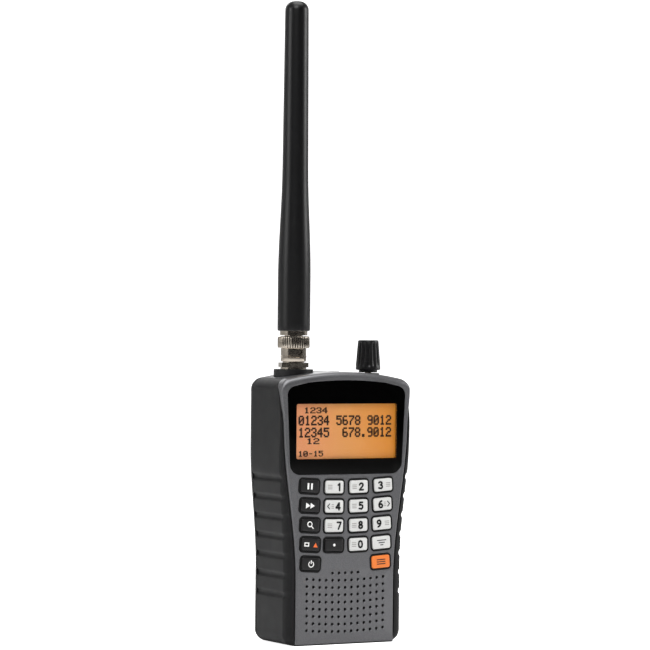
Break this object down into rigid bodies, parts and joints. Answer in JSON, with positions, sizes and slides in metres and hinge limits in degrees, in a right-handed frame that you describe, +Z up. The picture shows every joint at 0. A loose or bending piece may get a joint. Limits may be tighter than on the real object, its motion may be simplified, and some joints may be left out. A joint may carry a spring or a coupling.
{
  "type": "handheld scanner radio",
  "caption": "Pocket scanning receiver: case with rubber side grips, backlit display, keypad, speaker grille, volume knob, belt clip and bayonet whip antenna.",
  "frame": {"origin": "centre of the flat base that the case stands on", "axes": "+Z up along the antenna, -Y out of the display side, +X to the right when facing the display"},
  "size_m": [0.0664, 0.0407, 0.2896],
  "materials": {
    "front_plastic": "satin metallic grey paint on moulded plastic",
    "black_plastic": "fine textured black",
    "grip_rubber": "matt moulded rubber",
    "lens_acrylic": "polished, black printed border",
    "display_glass": "lit amber",
    "diffuser": "milky",
    "white_plastic": "plain",
    "silicone": "matt",
    "key_rim": "matt black",
    "key_light": "satin, translucent grey white",
    "key_dark": "satin black",
    "key_orange": "satin orange",
    "circuit_board": "solder resist",
    "chip_epoxy": "matt",
    "tin_plate": "bright tin",
    "nickel": "nickel plated brass",
    "steel": "zinc plated",
    "magnet_steel": "plain",
    "cone_paper": "pressed paper",
    "felt": "woven dust cloth",
    "ptfe": "smooth",
    "knob_plastic": "satin black",
    "antenna_rubber": "satin black",
    "cell_wrap": "printed film, plain bands",
    "pot_body": "plain"
  },
  "bodies": {
    "case": {"front_shell": "front_plastic", "rear_shell": "black_plastic", "grip_left": "grip_rubber", "grip_right": "grip_rubber", "display_lens": "lens_acrylic", "lcd_panel": "display_glass", "light_guide": "diffuser", "lcd_frame": "white_plastic", "keypad_rims": "key_rim", "keypad_mat": "silicone", "main_board": "circuit_board", "board_chips": "chip_epoxy", "radio_board": "circuit_board", "shield_can": "tin_plate", "speaker_basket": "steel", "speaker_cone": "cone_paper", "speaker_magnet": "magnet_steel", "speaker_felt": "felt", "bnc_jack": "nickel", "bnc_insulator": "ptfe", "bnc_washer": "black_plastic", "bnc_ring_nut": "nickel", "volume_pot": "pot_body", "phone_jack": "black_plastic", "usb_socket": "tin_plate", "cells": "cell_wrap", "cell_contacts": "steel", "case_screws": "steel", "clip_base": "black_plastic", "clip_screws": "steel", "clip_pin": "steel", "clip_spring": "steel"},
    "volume_control": {"volume_knob": "knob_plastic", "pot_shaft": "nickel"},
    "coupling": {"coupling_nut": "nickel"},
    "antenna": {"antenna_plug": "nickel", "antenna_sleeve": "antenna_rubber"},
    "door": {"battery_door": "black_plastic"},
    "clip": {"belt_clip": "black_plastic"},
    "socket_cover": {"usb_cover": "grip_rubber"},
    "cell_type_switch": {"battery_switch": "white_plastic"},
    "key_1_body": {"key_1": "key_light"},
    "key_2_body": {"key_2": "key_light"},
    "key_3_body": {"key_3": "key_light"},
    "key_4_body": {"key_4": "key_light"},
    "key_5_body": {"key_5": "key_light"},
    "key_6_body": {"key_6": "key_light"},
    "key_7_body": {"key_7": "key_light"},
    "key_8_body": {"key_8": "key_light"},
    "key_9_body": {"key_9": "key_light"},
    "key_0_body": {"key_0": "key_light"},
    "key_range_body": {"key_range": "key_light"},
    "key_hold_body": {"key_hold": "key_dark"},
    "key_scan_body": {"key_scan": "key_dark"},
    "key_search_body": {"key_search": "key_dark"},
    "key_lockout_body": {"key_lockout": "key_dark"},
    "key_point_body": {"key_point": "key_dark"},
    "key_power_body": {"key_power": "key_dark"},
    "key_function_body": {"key_function": "key_orange"}
  },
  "joints": [
    {"name": "key_1_press", "type": "slide", "parent": "case", "child": "key_1_body", "axis": [0, 1, 0], "range_m": [0, 0.0006], "stiffness_N_per_m": 900},
    {"name": "key_2_press", "type": "slide", "parent": "case", "child": "key_2_body", "axis": [0, 1, 0], "range_m": [0, 0.0006], "stiffness_N_per_m": 900},
    {"name": "key_3_press", "type": "slide", "parent": "case", "child": "key_3_body", "axis": [0, 1, 0], "range_m": [0, 0.0006], "stiffness_N_per_m": 900},
    {"name": "key_4_press", "type": "slide", "parent": "case", "child": "key_4_body", "axis": [0, 1, 0], "range_m": [0, 0.0006], "stiffness_N_per_m": 900},
    {"name": "key_5_press", "type": "slide", "parent": "case", "child": "key_5_body", "axis": [0, 1, 0], "range_m": [0, 0.0006], "stiffness_N_per_m": 900},
    {"name": "key_6_press", "type": "slide", "parent": "case", "child": "key_6_body", "axis": [0, 1, 0], "range_m": [0, 0.0006], "stiffness_N_per_m": 900},
    {"name": "key_7_press", "type": "slide", "parent": "case", "child": "key_7_body", "axis": [0, 1, 0], "range_m": [0, 0.0006], "stiffness_N_per_m": 900},
    {"name": "key_8_press", "type": "slide", "parent": "case", "child": "key_8_body", "axis": [0, 1, 0], "range_m": [0, 0.0006], "stiffness_N_per_m": 900},
    {"name": "key_9_press", "type": "slide", "parent": "case", "child": "key_9_body", "axis": [0, 1, 0], "range_m": [0, 0.0006], "stiffness_N_per_m": 900},
    {"name": "key_0_press", "type": "slide", "parent": "case", "child": "key_0_body", "axis": [0, 1, 0], "range_m": [0, 0.0006], "stiffness_N_per_m": 900},
    {"name": "key_range_press", "type": "slide", "parent": "case", "child": "key_range_body", "axis": [0, 1, 0], "range_m": [0, 0.0006], "stiffness_N_per_m": 900},
    {"name": "key_hold_press", "type": "slide", "parent": "case", "child": "key_hold_body", "axis": [0, 1, 0], "range_m": [0, 0.0006], "stiffness_N_per_m": 900},
    {"name": "key_scan_press", "type": "slide", "parent": "case", "child": "key_scan_body", "axis": [0, 1, 0], "range_m": [0, 0.0006], "stiffness_N_per_m": 900},
    {"name": "key_search_press", "type": "slide", "parent": "case", "child": "key_search_body", "axis": [0, 1, 0], "range_m": [0, 0.0006], "stiffness_N_per_m": 900},
    {"name": "key_lockout_press", "type": "slide", "parent": "case", "child": "key_lockout_body", "axis": [0, 1, 0], "range_m": [0, 0.0006], "stiffness_N_per_m": 900},
    {"name": "key_point_press", "type": "slide", "parent": "case", "child": "key_point_body", "axis": [0, 1, 0], "range_m": [0, 0.0006], "stiffness_N_per_m": 900},
    {"name": "key_power_press", "type": "slide", "parent": "case", "child": "key_power_body", "axis": [0, 1, 0], "range_m": [0, 0.0006], "stiffness_N_per_m": 900},
    {"name": "key_function_press", "type": "slide", "parent": "case", "child": "key_function_body", "axis": [0, 1, 0], "range_m": [0, 0.0006], "stiffness_N_per_m": 900},
    {"name": "volume_turn", "type": "hinge", "parent": "case", "child": "volume_control", "pos_m": [0.0212, 0.0015, 0.122], "axis": [0, 0, 1], "range_deg": [-140, 140]},
    {"name": "coupling_turn", "type": "hinge", "parent": "case", "child": "coupling", "pos_m": [-0.0178, 0.0015, 0.13], "axis": [0, 0, 1], "range_deg": [0, 88]},
    {"name": "antenna_swivel", "type": "hinge", "parent": "case", "child": "antenna", "pos_m": [-0.0178, 0.0015, 0.136], "axis": [0, 0, 1], "continuous": true},
    {"name": "door_slide", "type": "slide", "parent": "case", "child": "door", "axis": [0, 0, -1], "range_m": [0, 0.056]},
    {"name": "clip_open", "type": "hinge", "parent": "case", "child": "clip", "pos_m": [0, 0.0196, 0.108], "axis": [1, 0, 0], "range_deg": [0, 18], "stiffness_Nm_per_rad": 0.35},
    {"name": "cover_open", "type": "hinge", "parent": "case", "child": "socket_cover", "pos_m": [0.0325, -0.0036, 0.092], "axis": [0, 0, 1], "range_deg": [0, 105]},
    {"name": "switch_slide", "type": "slide", "parent": "case", "child": "cell_type_switch", "axis": [1, 0, 0], "range_m": [0, 0.0044]}
  ]
}
